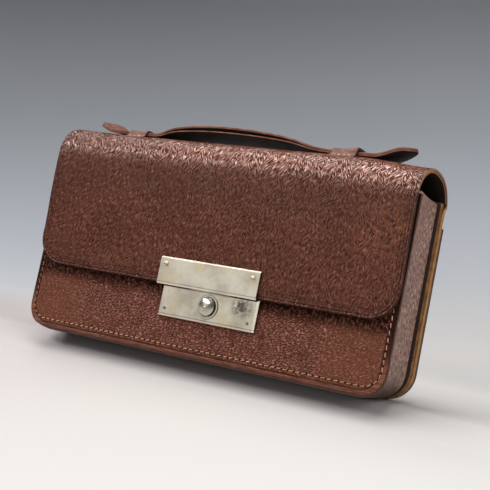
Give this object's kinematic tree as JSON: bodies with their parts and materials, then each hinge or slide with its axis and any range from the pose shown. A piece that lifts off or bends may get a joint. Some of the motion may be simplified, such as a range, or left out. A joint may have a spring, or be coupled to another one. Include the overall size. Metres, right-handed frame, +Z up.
{
  "type": "sewing bag",
  "caption": "Flat leather clutch with an arched crown open at both ends, a front flap held by a push-button plate lock, a back pocket and a flat carrying strap that slides in keepers.",
  "frame": {"origin": "middle of the flat base", "axes": "+Z up, +X to the wearer's right of the front seen from the front, the front with the flap and lock faces -Y"},
  "size_m": [0.22, 0.0434, 0.1248],
  "materials": {
    "grained_leather": "goat-like pebble grain, semi-gloss, worn on the crown",
    "smooth_leather": "smooth, dull, fine wrinkles",
    "tan_leather": "undyed cut edges, burnished",
    "lining_leather": "thin dark skiver",
    "lining_cloth": "twill lining",
    "thread": "waxed linen thread",
    "nickel_plate": "satin nickel plate with light tarnish",
    "brass": "polished, domed",
    "steel": "plain pressed"
  },
  "bodies": {
    "bag": {"gusset": "smooth_leather", "gusset_lining": "lining_cloth", "front_panel": "grained_leather", "front_welt": "smooth_leather", "front_lining": "lining_cloth", "divider": "lining_cloth", "back_panel": "tan_leather", "back_lining": "lining_cloth", "back_cover": "grained_leather", "back_pocket": "grained_leather", "front_stitches": "thread", "back_stitches": "thread", "lock_plate": "nickel_plate", "lock_backing": "steel", "lock_case": "steel", "lock_nails": "steel", "spring_catch": "steel"},
    "button": {"lock_button": "nickel_plate"},
    "release": {"release_slide": "steel"},
    "crown": {"flap_crown": "grained_leather", "flap_crown_lining": "lining_leather", "left_keeper": "grained_leather", "right_keeper": "grained_leather", "keeper_stitches": "thread"},
    "flap": {"flap_front": "grained_leather", "flap_front_lining": "lining_leather", "hasp_plate": "nickel_plate", "hasp_rivets": "brass", "hasp_tongue": "steel"},
    "strap_left": {"strap_left_tab": "grained_leather"},
    "strap_middle": {"strap_grip": "grained_leather", "strap_grip_lining": "lining_leather"},
    "strap_right": {"strap_right_tab": "grained_leather"}
  },
  "joints": [
    {"name": "crown_fold", "type": "hinge", "parent": "bag", "child": "crown", "pos_m": [0, 0.0212, 0.0988], "axis": [-1, 0, 0], "range_deg": [0, 150]},
    {"name": "flap_fold", "type": "hinge", "parent": "crown", "child": "flap", "pos_m": [0, -0.01619, 0.09851], "axis": [-1, 0, 0], "range_deg": [0, 85]},
    {"name": "button_push", "type": "slide", "parent": "bag", "child": "button", "axis": [0, 0.9988, -0.0488], "range_m": [0, 0.0015], "stiffness_N_per_m": 300, "springref_m": -0.002},
    {"name": "release_lift", "type": "slide", "parent": "bag", "child": "release", "axis": [0, 0.0488, 0.9988], "range_m": [0, 0.0015], "deforming": ["spring_catch"]},
    {"name": "strap_left_draw", "type": "slide", "parent": "crown", "child": "strap_left", "axis": [1, 0, 0], "range_m": [0, 0.0027]},
    {"name": "strap_rise", "type": "slide", "parent": "strap_left", "child": "strap_middle", "axis": [-0.3486, 0.068, 0.9348], "range_m": [0, 0.01707]},
    {"name": "strap_right_draw", "type": "slide", "parent": "strap_middle", "child": "strap_right", "axis": [-0.3486, -0.068, -0.9348], "range_m": [0, 0.01707]}
  ],
  "couplings": [
    {"joint": "release_lift", "follows": "button_push", "ratio": 1},
    {"joint": "strap_left_draw", "follows": "strap_rise", "ratio": 0.15816},
    {"joint": "strap_right_draw", "follows": "strap_rise", "ratio": 1}
  ]
}
